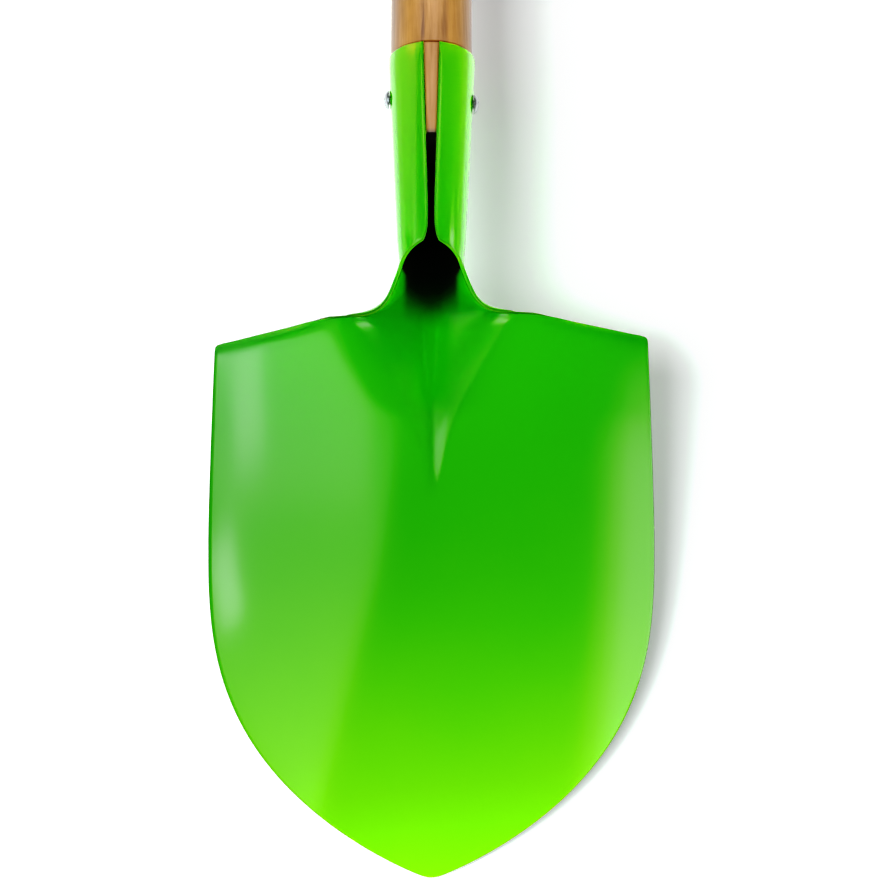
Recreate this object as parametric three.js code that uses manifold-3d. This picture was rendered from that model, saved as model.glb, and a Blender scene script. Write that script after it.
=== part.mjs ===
// A children's spade: a pressed steel blade with a rolled socket, a turned wooden shaft and a T grip.
// Millimetres, +Z up. The spade lies face down on its tip and its grip, with the grip towards +Y.
import * as THREE from "three";
import { mergeVertices } from "three/addons/utils/BufferGeometryUtils.js";
import Module from "manifold-3d";

const wasm = await Module();
wasm.setup();

// Steel sheet of the blade and socket
const SHEET = 1.2;

// Socket, a cone rolled from the sheet, measured on its outside
const SOCKET_LENGTH = 70.5;
const SOCKET_RIM_DIAMETER = 27.8;
const SOCKET_NECK_DIAMETER = 20.6;
const SEAM_GAP_AT_RIM = 4.7;
const SEAM_GAP_AT_FOOT = 0.4;
const SEAM_FLARE = 2;
const SEAM_FLARE_FADE = 3;
const NOTCH_HEIGHT = 6;
const NOTCH_REACH = 11;
const NOTCH_POWER = 1.22;

// Blade, measured along its own plane from the neck, where the socket ends
const LIFT_DEGREES = 12;
const BLADE_RISE = 7;
const BLADE_LENGTH = 188.6;
const BLADE_WIDTH = 139;
const WIDEST_FROM_NECK = 85;
const SHOULDER_WIDTH = 135;
const SHOULDER_FROM_NECK = 15.2;
const SHOULDER_DROP = 7;
const NECK_FLARE_WIDTH = 64;
const NECK_FLARE_POWER = 5;
const NECK_FLARE_START = 0.25;
const SHOULDER_BEND_ROUND = 5;
const CORNER_RADIUS = 2;
const SIDE_BOW_POWER = 1.3;
const DISH_DEPTH = 12;
const TIP_BEND_FROM_NECK = 90;
const TIP_BEND_RADIUS = 600;

// Outline from the widest place to the tip: (x / a) ^ side + (v / b) ^ tip = 1
const OUTLINE_SIDE_POWER = 1.13;
const OUTLINE_TIP_POWER = 2.95;

// Frog, the hollow that carries the socket's floor into the blade
const FROG_LENGTH = 72;
const FROG_FLOOR_POWER = 1.7;
const FROG_WIDTH = 66;
const FROG_TAIL_WIDTH = 5;
const FROG_SIDE_POWER = 1.3;
const FROG_CREASE_ROUND = 1.2;

// Treads, the shoulders' edges turned towards the front
const TREAD_WIDTH = 4.2;
const TREAD_TURN_DEGREES = 60;
const TREAD_RUN_IN = 9;

// Neck, pressed smooth between two heights on the shaft's axis
const SMOOTH_TOP = 10;
const SMOOTH_BOTTOM = -45;
const SMOOTH_FADE = 10;
const SMOOTH_SHARE = 0.5;
const SMOOTH_EDGE_SHARE = 0.1;
const SMOOTH_EDGE_BOTTOM = -8;

// Shaft
const SHAFT_DIAMETER = 26;
const SHAFT_SHOWING = 450;
const CONE_LENGTH = 31;
const CONE_END_CHAMFER = 1.5;
const SHAFT_TOP_DIAMETER = 19;
const SHAFT_TAPER_LENGTH = 60;

// Grip
const GRIP_DIAMETER = 30;
const GRIP_LENGTH = 112;
const GRIP_END_RADIUS = 6;
const GRIP_BORE_DEPTH = 21;

// Screws
const SCREW_SHANK_DIAMETER = 3;
const SCREW_POINT_LENGTH = 3;
const SCREW_HEAD_DIAMETER = 6;
const SCREW_HEAD_HEIGHT = 1.6;
const SOCKET_SCREW_LENGTH = 10;
const LEFT_SCREW_FROM_RIM = 13.5;
const RIGHT_SCREW_FROM_RIM = 15;
const GRIP_SCREW_LENGTH = 26;
const GRIP_SCREW_SUNK = 2.6;

// Clearances between pieces
const FIT = 0.3;
const HOLE_CLEARANCE = 0.3;

// Facets
const AROUND_HALF = 12;
const SHOULDER_COLUMNS = 8;
const SLIT_ROWS = 8;
const NOTCH_ROWS = 6;
const NECK_ROWS = 6;
const TREAD_ROWS = 5;
const UPPER_ROWS = 9;
const LOWER_ROWS = 12;
const SMOOTH_PASSES = 6;
const LAST_ROW_ANGLE = THREE.MathUtils.degToRad(80);
const ROUND_SEGMENTS = 40;
const SCREW_SEGMENTS = 24;
const ARC_STEPS = 5;

const steelPaint = { color: 0x35b80a, roughness: 0.28, metalness: 0 };
const bareWood = { color: 0xc9965a, roughness: 0.62, metalness: 0 };
const zincPlate = { color: 0xc4c8ca, roughness: 0.25, metalness: 1 };

const lift = THREE.MathUtils.degToRad(LIFT_DEGREES);
const neckRadius = (SOCKET_NECK_DIAMETER - SHEET) / 2;
const rimRadius = (SOCKET_RIM_DIAMETER - SHEET) / 2;
const socketTaper = (rimRadius - neckRadius) / SOCKET_LENGTH;
const flareHalf = NECK_FLARE_WIDTH / 2;
const shoulderHalf = SHOULDER_WIDTH / 2;
const bladeHalf = BLADE_WIDTH / 2;
const dishRadius = (bladeHalf ** 2 + DISH_DEPTH ** 2) / (2 * DISH_DEPTH);
const gripRadius = GRIP_DIAMETER / 2;
const gripFromNeck = SOCKET_LENGTH + SHAFT_SHOWING + gripRadius;

// Middle of the sheet: distance from the shaft's axis at a height above the neck
function socketRadius(height) {
  return neckRadius + socketTaper * height;
}

// Half of the seam's gap along the sheet, opening into the notch at the socket's foot
function seamHalfGap(height) {
  const share = height / SOCKET_LENGTH;
  const seam = THREE.MathUtils.lerp(SEAM_GAP_AT_FOOT, SEAM_GAP_AT_RIM, share) / 2;
  const flare = SEAM_FLARE * Math.exp(-Math.max(0, height - NOTCH_HEIGHT) / SEAM_FLARE_FADE);
  const climb = Math.max(0, 1 - height / NOTCH_HEIGHT);
  return seam + flare + NOTCH_REACH * climb ** (1 / NOTCH_POWER);
}

// One row of the socket, from one side of the seam round the floor to the other
function socketRow(height) {
  const radius = socketRadius(height);
  const reach = Math.PI - seamHalfGap(height) / radius;
  const row = [];
  for (let j = -AROUND_HALF; j <= AROUND_HALF; j++) {
    const turn = (reach * j) / AROUND_HALF;
    row.push(new THREE.Vector3(radius * Math.sin(turn), height, -radius * Math.cos(turn)));
  }
  return row;
}

// Depth of the frog below the blade's plane: the socket's floor runs out in a long tail
function frogDepth(v) {
  const deepest = (BLADE_RISE + neckRadius) / Math.cos(lift);
  return deepest * Math.max(0, 1 - v / FROG_LENGTH) ** FROG_FLOOR_POWER;
}

// Half of the frog's width, narrowing with its depth
function frogHalfWidth(v) {
  const share = frogDepth(v) / frogDepth(SHOULDER_FROM_NECK);
  return THREE.MathUtils.lerp(FROG_TAIL_WIDTH, FROG_WIDTH, share ** FROG_SIDE_POWER) / 2;
}

// Share of the shoulder's drop at x: none beside the neck, then a soft bend into a straight slope
function shoulderDropShare(x) {
  const beyond = Math.abs(x) - flareHalf;
  return (beyond + Math.hypot(beyond, SHOULDER_BEND_ROUND)) / 2 / (shoulderHalf - flareHalf);
}

// Shoulder's edge, as a distance from the neck
function shoulderEdge(x) {
  return SHOULDER_FROM_NECK + SHOULDER_DROP * shoulderDropShare(x);
}

// A point of the blade, x across and v from the neck, in the shaft's frame
function bladePoint(x, v) {
  const dish = dishRadius - Math.sqrt(dishRadius ** 2 - x ** 2);
  const tipBend = Math.max(0, v - TIP_BEND_FROM_NECK) ** 2 / (2 * TIP_BEND_RADIUS);
  const fromCrease = Math.hypot(x, FROG_CREASE_ROUND) - FROG_CREASE_ROUND;
  const across = Math.min(1, fromCrease / frogHalfWidth(v));
  const frog = frogDepth(v) * (1 - across) ** 2 * (1 + across);

  // The tread turns on a round bend, which draws the edge in and takes it to the front
  const turn = THREE.MathUtils.degToRad(TREAD_TURN_DEGREES);
  const bendRadius = TREAD_WIDTH / turn;
  const bent = Math.max(0, TREAD_WIDTH - (v - shoulderEdge(x)));
  const angle = bent / bendRadius;
  const tread = THREE.MathUtils.smoothstep(Math.abs(x), flareHalf, flareHalf + TREAD_RUN_IN);
  const drawnIn = tread * (bent - bendRadius * Math.sin(angle));
  const dropped = tread * bendRadius * (1 - Math.cos(angle));

  const along = v + drawnIn;
  const out = -dish - tipBend - frog - dropped;
  const y = -along * Math.cos(lift) - out * Math.sin(lift);
  const z = BLADE_RISE - along * Math.sin(lift) + out * Math.cos(lift);
  return new THREE.Vector3(x, y, z);
}

// Places of the columns across the blade, as shares of its half width
function bladeShares() {
  const columns = AROUND_HALF + SHOULDER_COLUMNS;
  const shares = [];
  for (let j = -columns; j <= columns; j++) {
    const inner = (flareHalf / shoulderHalf) * (Math.min(Math.abs(j), AROUND_HALF) / AROUND_HALF);
    const outer = (1 - flareHalf / shoulderHalf) * (Math.max(0, Math.abs(j) - AROUND_HALF) / SHOULDER_COLUMNS);
    shares.push(Math.sign(j) * (inner + outer));
  }
  return shares;
}

// A row above the widest place. It starts as the shoulder's edge and straightens on the way down.
function upperRow(belowShoulder) {
  const edge = SHOULDER_FROM_NECK + SHOULDER_DROP + belowShoulder;
  const down = belowShoulder / (WIDEST_FROM_NECK - SHOULDER_FROM_NECK - SHOULDER_DROP);
  const slack = Math.max(0, CORNER_RADIUS - belowShoulder);
  const corner = CORNER_RADIUS - Math.sqrt(CORNER_RADIUS ** 2 - slack ** 2);
  const half = bladeHalf - (bladeHalf - shoulderHalf) * (1 - down) ** SIDE_BOW_POWER - corner;
  return bladeShares().map((share) => {
    const rise = 1 - shoulderDropShare(shoulderHalf * share);
    return bladePoint(half * share, edge - SHOULDER_DROP * rise * (1 - down));
  });
}

// A row below the widest place, bowed more and more towards the tip
function lowerRow(step) {
  const down = step / LOWER_ROWS;
  const angle = LAST_ROW_ANGLE * down;
  const reach = BLADE_LENGTH - WIDEST_FROM_NECK;
  const half = bladeHalf * Math.cos(angle) ** (2 / OUTLINE_SIDE_POWER);
  const edge = WIDEST_FROM_NECK + reach * Math.sin(angle) ** (2 / OUTLINE_TIP_POWER);
  const lastEdge = WIDEST_FROM_NECK + reach * Math.sin(LAST_ROW_ANGLE) ** (2 / OUTLINE_TIP_POWER);
  const bow = (BLADE_LENGTH - lastEdge) * down ** 2;
  return bladeShares().map((share) => bladePoint(half * share, edge + bow * (1 - share ** 2)));
}

// Rows between the socket and the shoulders: the floor runs on, the sides open slowly, then flare on a round
function neckRow(step, socketEnd, bladeStart) {
  const share = step / NECK_ROWS;
  const angle = (Math.PI / 2) * share;
  const moved = Math.sin(angle) ** (2 / NECK_FLARE_POWER);
  const flared = 1 - Math.cos(angle) ** (2 / NECK_FLARE_POWER);
  const opened = THREE.MathUtils.lerp(flared, moved, NECK_FLARE_START);
  return socketEnd.map((from, i) => {
    const to = bladeStart[i];
    const towardsEdge = (to.x / bladeStart[0].x) ** 2;
    const point = from.clone().lerp(to, THREE.MathUtils.lerp(share, opened, towardsEdge));
    point.y = THREE.MathUtils.lerp(from.y, to.y, THREE.MathUtils.lerp(share, moved, towardsEdge));
    return point;
  });
}

// Middle surface of the whole sheet, as points and four-sided faces that look to the back
function sheetSurface() {
  const points = [];
  const faces = [];
  const addRow = (row) => row.map((point) => points.push(point) - 1);
  const join = (above, below) => {
    for (let j = 0; j + 1 < above.length; j++) {
      faces.push([above[j], below[j], below[j + 1], above[j + 1]]);
    }
  };

  const narrow = [];
  for (let i = 0; i < SLIT_ROWS; i++) {
    const left = 1 - i / SLIT_ROWS;
    narrow.push(socketRow(THREE.MathUtils.lerp(NOTCH_HEIGHT, SOCKET_LENGTH, left ** 2)));
  }
  for (let i = 0; i <= NOTCH_ROWS; i++) {
    const left = 1 - i / NOTCH_ROWS;
    narrow.push(socketRow(NOTCH_HEIGHT * (1 - (1 - left) ** NOTCH_POWER)));
  }
  const socketEnd = narrow[narrow.length - 1];
  const shoulderRow = upperRow(0);
  const bladeStart = shoulderRow.slice(SHOULDER_COLUMNS, -SHOULDER_COLUMNS);
  for (let i = 1; i < NECK_ROWS; i++) {
    narrow.push(neckRow(i, socketEnd, bladeStart));
  }

  const wide = [shoulderRow];
  for (let i = 1; i <= TREAD_ROWS; i++) {
    wide.push(upperRow((TREAD_WIDTH * i) / TREAD_ROWS));
  }
  const straightPart = WIDEST_FROM_NECK - SHOULDER_FROM_NECK - SHOULDER_DROP - TREAD_WIDTH;
  for (let i = 1; i <= UPPER_ROWS; i++) {
    wide.push(upperRow(TREAD_WIDTH + (straightPart * i) / UPPER_ROWS));
  }
  for (let i = 1; i <= LOWER_ROWS; i++) {
    wide.push(lowerRow(i));
  }

  const narrowIds = narrow.map(addRow);
  const wideIds = wide.map(addRow);
  const rowsDown = [...narrowIds, wideIds[0].slice(SHOULDER_COLUMNS, -SHOULDER_COLUMNS)];
  for (let i = 0; i + 1 < rowsDown.length; i++) {
    join(rowsDown[i], rowsDown[i + 1]);
  }
  for (let i = 0; i + 1 < wideIds.length; i++) {
    join(wideIds[i], wideIds[i + 1]);
  }
  return { points, faces };
}

// Edges that belong to one face only, in that face's direction
function borderEdges(faces) {
  const open = new Map();
  for (const face of faces) {
    face.forEach((from, k) => {
      const to = face[(k + 1) % face.length];
      if (!open.delete(`${to},${from}`)) {
        open.set(`${from},${to}`, [from, to]);
      }
    });
  }
  return [...open.values()];
}

// The neck pressed smooth: points move to the middle of their neighbours, and edge points along the edge
function pressSmooth({ points, faces }) {
  const border = borderEdges(faces);
  const onBorder = new Set(border.flat());
  const neighbours = points.map(() => []);
  for (const face of faces) {
    face.forEach((from, k) => {
      if (!onBorder.has(from)) {
        neighbours[from].push(face[(k + 1) % face.length]);
      }
    });
  }
  for (const [from, to] of border) {
    neighbours[from].push(to);
    neighbours[to].push(from);
  }
  const shares = points.map((point, i) => {
    const above = 1 - THREE.MathUtils.smoothstep(point.y, SMOOTH_TOP - SMOOTH_FADE, SMOOTH_TOP);
    const below = THREE.MathUtils.smoothstep(point.y, SMOOTH_BOTTOM, SMOOTH_BOTTOM + SMOOTH_FADE);
    const edgeShare = SMOOTH_EDGE_SHARE * THREE.MathUtils.smoothstep(point.y, SMOOTH_EDGE_BOTTOM, 0);
    return Math.min(above, below) * (onBorder.has(i) ? edgeShare : SMOOTH_SHARE);
  });

  let pressed = points;
  for (let pass = 0; pass < SMOOTH_PASSES; pass++) {
    const before = pressed;
    pressed = before.map((point, i) => {
      const middle = new THREE.Vector3();
      neighbours[i].forEach((k) => middle.add(before[k]));
      return point.clone().lerp(middle.divideScalar(neighbours[i].length), shares[i]);
    });
  }
  return { points: pressed, faces };
}

// A closed plate of even thickness on both sides of a surface of four-sided faces
function thicken({ points, faces }, thickness) {
  const normals = points.map(() => new THREE.Vector3());
  for (const [a, b, c, d] of faces) {
    const one = points[c].clone().sub(points[a]);
    const other = points[d].clone().sub(points[b]);
    const normal = one.cross(other);
    for (const corner of [a, b, c, d]) {
      normals[corner].add(normal);
    }
  }
  const moved = (side) => points.map((p, i) => p.clone().addScaledVector(normals[i].normalize(), side));
  const positions = [...moved(thickness / 2), ...moved(-thickness / 2)];
  const under = points.length;

  const index = [];
  for (const [a, b, c, d] of faces) {
    const shortFirst = points[a].distanceTo(points[c]) <= points[b].distanceTo(points[d]);
    const halves = shortFirst ? [[a, b, c], [a, c, d]] : [[a, b, d], [b, c, d]];
    for (const [p, q, r] of halves) {
      index.push(p, q, r, p + under, r + under, q + under);
    }
  }
  for (const [from, to] of borderEdges(faces)) {
    index.push(from, from + under, to + under, from, to + under, to);
  }

  const geometry = new THREE.BufferGeometry().setFromPoints(positions);
  geometry.setIndex(index);
  return geometry;
}

// Solids for cutting, and their way back to a geometry
function solidOf(geometry) {
  const bare = geometry.clone();
  bare.deleteAttribute("normal");
  bare.deleteAttribute("uv");
  const merged = mergeVertices(bare);
  const vertProperties = new Float32Array(merged.attributes.position.array);
  const triVerts = new Uint32Array(merged.index.array);
  return new wasm.Manifold(new wasm.Mesh({ numProp: 3, vertProperties, triVerts }));
}

function geometryOf(solid) {
  const mesh = solid.getMesh();
  const geometry = new THREE.BufferGeometry();
  geometry.setAttribute("position", new THREE.BufferAttribute(mesh.vertProperties, 3));
  geometry.setIndex(new THREE.BufferAttribute(mesh.triVerts, 1));
  return geometry;
}

function cut(geometry, tools) {
  const solid = tools.reduce((rest, tool) => rest.subtract(solidOf(tool)), solidOf(geometry));
  return geometryOf(solid);
}

// A body turned about Y from a profile of [radius, height] pairs, listed from the bottom up
function turned(profile, segments) {
  const points = profile.map(([radius, height]) => new THREE.Vector2(radius, height));
  return new THREE.LatheGeometry(points, segments);
}

// Points of a quarter round that leaves the side of a turned body and ends on its top face
function roundedEdge(radius, top, round) {
  const points = [];
  for (let i = 0; i <= ARC_STEPS; i++) {
    const angle = ((Math.PI / 2) * i) / ARC_STEPS;
    points.push([radius - round * (1 - Math.cos(angle)), top - round * (1 - Math.sin(angle))]);
  }
  return points;
}

// A round-headed wood screw, its point towards -Y and its head's flat underside at the origin
function screwGeometry(length) {
  const shank = SCREW_SHANK_DIAMETER / 2;
  const head = SCREW_HEAD_DIAMETER / 2;
  const dome = [];
  for (let i = 0; i < ARC_STEPS; i++) {
    const angle = ((Math.PI / 2) * i) / ARC_STEPS;
    dome.push([head * Math.cos(angle), SCREW_HEAD_HEIGHT * Math.sin(angle)]);
  }
  const profile = [[0, -length], [shank, SCREW_POINT_LENGTH - length], [shank, 0], ...dome];
  profile.push([0, SCREW_HEAD_HEIGHT]);
  return turned(profile, SCREW_SEGMENTS);
}

// The hole for a screw, with the same origin as the screw
function screwHole(length) {
  const radius = SCREW_SHANK_DIAMETER / 2 + HOLE_CLEARANCE;
  const depth = length + HOLE_CLEARANCE;
  return new THREE.CylinderGeometry(radius, radius, 2 * depth, SCREW_SEGMENTS);
}

// Where a socket screw sits: its head's underside just clear of the widest part of the wall below it
function screwSeat(side, fromRim) {
  const height = SOCKET_LENGTH - fromRim;
  const wall = socketRadius(height + SCREW_HEAD_DIAMETER / 2) + SHEET / 2;
  return new THREE.Matrix4()
    .makeTranslation(side * (wall + FIT / 2), height, 0)
    .multiply(new THREE.Matrix4().makeRotationZ((-side * Math.PI) / 2));
}

const leftSeat = screwSeat(-1, LEFT_SCREW_FROM_RIM);
const rightSeat = screwSeat(1, RIGHT_SCREW_FROM_RIM);
const gripSeat = new THREE.Matrix4().makeTranslation(0, gripFromNeck + gripRadius - GRIP_SCREW_SUNK, 0);

function socketScrewHoles() {
  return [leftSeat, rightSeat].map((seat) => screwHole(SOCKET_SCREW_LENGTH).applyMatrix4(seat));
}

// The floor of the crossbar's bore, seen from the shaft's end
const boreFloor = gripFromNeck - gripRadius + GRIP_BORE_DEPTH;

function bladeGeometry() {
  return cut(thicken(pressSmooth(sheetSurface()), SHEET), socketScrewHoles());
}

function shaftGeometry() {
  const inside = (height) => socketRadius(height) - SHEET / 2 - FIT;
  const coneEnd = SOCKET_LENGTH - CONE_LENGTH;
  const shoulder = SOCKET_LENGTH + FIT;
  const taperEnd = gripFromNeck - gripRadius;
  const top = boreFloor - FIT;
  const profile = [
    [0, coneEnd],
    [inside(coneEnd) - CONE_END_CHAMFER, coneEnd],
    [inside(coneEnd + CONE_END_CHAMFER), coneEnd + CONE_END_CHAMFER],
    [inside(SOCKET_LENGTH), shoulder],
    [SHAFT_DIAMETER / 2, shoulder],
    [SHAFT_DIAMETER / 2, taperEnd - SHAFT_TAPER_LENGTH],
    [SHAFT_TOP_DIAMETER / 2, taperEnd],
    [SHAFT_TOP_DIAMETER / 2, top],
    [0, top],
  ];
  const gripHole = screwHole(GRIP_SCREW_LENGTH).applyMatrix4(gripSeat);
  return cut(turned(profile, ROUND_SEGMENTS), [...socketScrewHoles(), gripHole]);
}

function crossbarGeometry() {
  const end = GRIP_LENGTH / 2;
  const upper = roundedEdge(gripRadius, end, GRIP_END_RADIUS);
  const lower = upper.map(([radius, height]) => [radius, -height]).reverse();
  const bar = turned([[0, -end], ...lower, ...upper, [0, end]], ROUND_SEGMENTS);
  bar.rotateZ(-Math.PI / 2);

  const boreRadius = SHAFT_TOP_DIAMETER / 2 + FIT;
  const bore = new THREE.CylinderGeometry(boreRadius, boreRadius, GRIP_DIAMETER, ROUND_SEGMENTS);
  bore.translate(0, boreFloor - GRIP_DIAMETER / 2 - gripFromNeck, 0);
  const headRoom = SCREW_HEAD_DIAMETER / 2 + HOLE_CLEARANCE;
  const sink = new THREE.CylinderGeometry(headRoom, headRoom, GRIP_DIAMETER, SCREW_SEGMENTS);
  sink.translate(0, gripRadius - GRIP_SCREW_SUNK - FIT + GRIP_DIAMETER / 2, 0);
  const hole = screwHole(GRIP_SCREW_LENGTH);
  hole.translate(0, gripRadius - GRIP_SCREW_SUNK, 0);
  return cut(bar, [bore, sink, hole]);
}

function addPiece(group, name, geometry, look) {
  const shaded = geometry.toNonIndexed();
  shaded.computeVertexNormals();
  const mesh = new THREE.Mesh(shaded, new THREE.MeshStandardMaterial(look));
  mesh.name = name;
  group.add(mesh);
  return mesh;
}

// The tool in the shaft's frame: the shaft runs along Y, the neck is at the origin, the back is up
const tool = new THREE.Group();
addPiece(tool, "blade_and_socket", bladeGeometry(), steelPaint);
addPiece(tool, "shaft", shaftGeometry(), bareWood);
addPiece(tool, "grip_crossbar", crossbarGeometry(), bareWood).position.y = gripFromNeck;
addPiece(tool, "socket_screw_left", screwGeometry(SOCKET_SCREW_LENGTH), zincPlate).applyMatrix4(leftSeat);
addPiece(tool, "socket_screw_right", screwGeometry(SOCKET_SCREW_LENGTH), zincPlate).applyMatrix4(rightSeat);
addPiece(tool, "grip_screw", screwGeometry(GRIP_SCREW_LENGTH), zincPlate).applyMatrix4(gripSeat);

// Tip the tool until the blade's tip and the crossbar lie on one floor
const tip = bladePoint(0, BLADE_LENGTH);
const gripToTip = new THREE.Vector2(tip.y - gripFromNeck, tip.z - SHEET / 2);
const slope = Math.atan2(gripToTip.y, gripToTip.x);
tool.rotation.x = Math.asin(gripRadius / gripToTip.length()) - Math.PI - slope;

// Set it down on the floor with the middle of its length at the origin
tool.updateMatrixWorld(true);
const box = new THREE.Box3().setFromObject(tool, true);
tool.position.set(0, -(box.min.y + box.max.y) / 2, -box.min.z);

const spade = new THREE.Group();
spade.add(tool);

export default spade;
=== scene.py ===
# The looks of a children's spade: gloss green steel blade, rolled socket, wooden shaft and T grip.
# Pieces are worked out in millimetres in the shaft's frame, then placed in the model's metres:
# Y runs up the shaft from the neck, X goes across the blade and Z points out of the blade's back.
import math

import bpy
import numpy as np
from mathutils import Matrix, Vector
from mathutils.kdtree import KDTree


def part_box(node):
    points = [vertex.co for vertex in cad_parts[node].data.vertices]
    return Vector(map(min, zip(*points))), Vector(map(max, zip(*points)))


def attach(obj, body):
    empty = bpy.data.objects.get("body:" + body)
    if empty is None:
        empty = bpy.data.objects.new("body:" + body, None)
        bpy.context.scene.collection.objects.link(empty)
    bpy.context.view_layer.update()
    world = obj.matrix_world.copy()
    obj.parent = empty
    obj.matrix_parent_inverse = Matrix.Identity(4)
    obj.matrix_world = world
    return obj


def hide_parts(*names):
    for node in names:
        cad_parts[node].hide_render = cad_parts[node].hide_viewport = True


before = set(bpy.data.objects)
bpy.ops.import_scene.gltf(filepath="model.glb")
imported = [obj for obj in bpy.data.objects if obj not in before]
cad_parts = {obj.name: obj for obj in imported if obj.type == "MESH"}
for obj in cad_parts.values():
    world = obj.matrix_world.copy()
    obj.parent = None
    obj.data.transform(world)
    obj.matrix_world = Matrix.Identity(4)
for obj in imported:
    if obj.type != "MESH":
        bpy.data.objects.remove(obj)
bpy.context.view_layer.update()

MM = 0.001

# Steel sheet of the blade and socket
SHEET = 1.2
EDGE_ROUND = 0.5
# Points of the surface this near its edge are drawn in with the edge's rounding
EDGE_DRAW_IN = 1

# Socket, a cone rolled from the sheet, measured on its outside
SOCKET_LENGTH = 70.5
SOCKET_RIM_DIAMETER = 27.8
SOCKET_NECK_DIAMETER = 20.6
SEAM_GAP_AT_RIM = 4.7
SEAM_GAP_AT_FOOT = 0.4
SEAM_FLARE = 2
SEAM_FLARE_FADE = 3
NOTCH_HEIGHT = 6
NOTCH_REACH = 11
NOTCH_POWER = 1.22

# Blade, measured along its own plane from the neck, where the socket ends
LIFT = math.radians(12)
BLADE_RISE = 7
BLADE_LENGTH = 188.6
BLADE_WIDTH = 139
WIDEST_FROM_NECK = 85
SHOULDER_WIDTH = 135
SHOULDER_FROM_NECK = 15.2
SHOULDER_DROP = 7
SHOULDER_SKEW = 0.02
NECK_FLARE_WIDTH = 64
NECK_FLARE_POWER = 5
NECK_FLARE_START = 0.25
SHOULDER_BEND_ROUND = 5
CORNER_RADIUS = 2
SIDE_BOW_POWER = 1.3
DISH_DEPTH = 12
TIP_BEND_FROM_NECK = 90
TIP_BEND_RADIUS = 600
OUTLINE_SIDE_POWER = 1.13
OUTLINE_TIP_POWER = 2.95
TIP_BOW = 0.61

# Frog, the hollow that carries the socket's floor into the blade
FROG_LENGTH = 72
FROG_FLOOR_POWER = 1.7
FROG_WIDTH = 66
FROG_TAIL_WIDTH = 5
FROG_SIDE_POWER = 1.3
FROG_CREASE_ROUND = 0.6

# Treads, the shoulders' edges turned towards the front
TREAD_WIDTH = 4.2
TREAD_TURN = math.radians(60)
TREAD_RUN_IN = 9

# Neck, pressed smooth between two heights on the shaft's axis
RELAX_TOP = 10
RELAX_BOTTOM = -45
RELAX_FADE = 10
RELAX_PASSES = 50
RELAX_SHARE = 0.5
RELAX_EDGE_SHARE = 0.1
RELAX_EDGE_BOTTOM = -8

# Dark colour in the socket's hollow: bare steel where paint hardly reaches, with painted shade of the
# hollow; full above one height, fading out towards the blade
BARE_STEEL_AND_SHADE_FROM = 2
BARE_STEEL_AND_SHADE_FADE = 21
BARE_STEEL_AND_SHADE_HALF_WIDTH = 7.4
BARE_STEEL_AND_SHADE_SIDE_FADE = 2.4

# Dull paint at the neck and along the first part of the frog's trough
DULL_NECK_FROM = -11
DULL_NECK_FADE = 3
DULL_TROUGH_FROM = -38
DULL_TROUGH_FADE = 8
DULL_TROUGH_HALF_WIDTH = 4
DULL_TROUGH_SIDE_FADE = 4

# Painted shade: darker colour on the sheet's edge, which leaves out the notch at the neck
UNSHADED_EDGE_AT = -3
UNSHADED_EDGE_REACH = 16

# Shaft and grip
SHAFT_DIAMETER = 26
SHAFT_SHOWING = 450
SHAFT_TOP_DIAMETER = 19
SHAFT_TAPER_LENGTH = 60
CONE_LENGTH = 31
CONE_END_CHAMFER = 1.5
# Length of the shaft's end coloured near black: end grain, and painted shade inside the socket
END_GRAIN_AND_SHADE_LENGTH = 3
WOOD_EDGE_ROUND = 0.6
GRIP_DIAMETER = 30
GRIP_LENGTH = 112
GRIP_END_RADIUS = 6
GRIP_BORE_DEPTH = 21

# Screws
SCREW_SHANK_DIAMETER = 3
SCREW_POINT_LENGTH = 3
SCREW_HEAD_DIAMETER = 6
SCREW_HEAD_HEIGHT = 1.6
SCREW_CROSS_LENGTH = 3.6
SCREW_CROSS_WIDTH = 0.8
SCREW_CROSS_DEPTH = 0.9
SCREW_CROSS_FLOOR_WIDTH_SHARE = 2 / 3
SCREW_CROSS_FLOOR_LENGTH_SHARE = 1 / 2
SOCKET_SCREW_LENGTH = 10
GRIP_SCREW_LENGTH = 26
GRIP_SCREW_SUNK = 2.6

# Clearances between pieces
FIT = 0.3
HOLE_CLEARANCE = 0.3

# Fineness of the meshes
AROUND_HALF = 36
SHOULDER_COLUMNS = 24
SLIT_ROWS = 30
NOTCH_ROWS = 20
NECK_ROWS = 26
TREAD_ROWS = 14
UPPER_ROWS = 36
LOWER_ROWS = 44
LAST_ROW_ANGLE = math.radians(80)
EDGE_STEPS = 6
ROUND_SEGMENTS = 96
ARC_STEPS = 10
DOME_STEPS = 50
SHARP_ANGLE = math.radians(40)

# Range of a share and the usual range of noise
FULL_RANGE = (0, 1)
NOISE_RANGE = (0.3, 0.7)

# Green paint: noise, colours along the noise as places and colours, and finish
PAINT_CLOUD = {"Scale": 22, "Detail": 3, "Roughness": 0.5}
PAINT_PEEL = {"Scale": 700, "Detail": 2, "Roughness": 0.4}
PAINT_COLOURS = [(0, (0.019, 0.302, 0.003)), (1, (0.023, 0.318, 0.004))]
# Painted shade on the sheet's edge
EDGE_SHADE_COLOURS = [(0, (0.012, 0.10, 0.004)), (1, (0.016, 0.115, 0.006))]
# Bare steel with painted shade in the socket's hollow
STEEL_AND_SHADE_COLOURS = [(0, (0.02, 0.04, 0.02)), (1, (0.03, 0.06, 0.03))]
PAINT_ROUGHNESS = (0.12, 0.16)
PAINT_IOR = 1.6
PEEL_STRENGTH = 0.06
PEEL_DEPTH = 0.1 * MM
# Specular level of full gloss and of dull paint
PAINT_SHINE = (0.5, 0.05)

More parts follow.
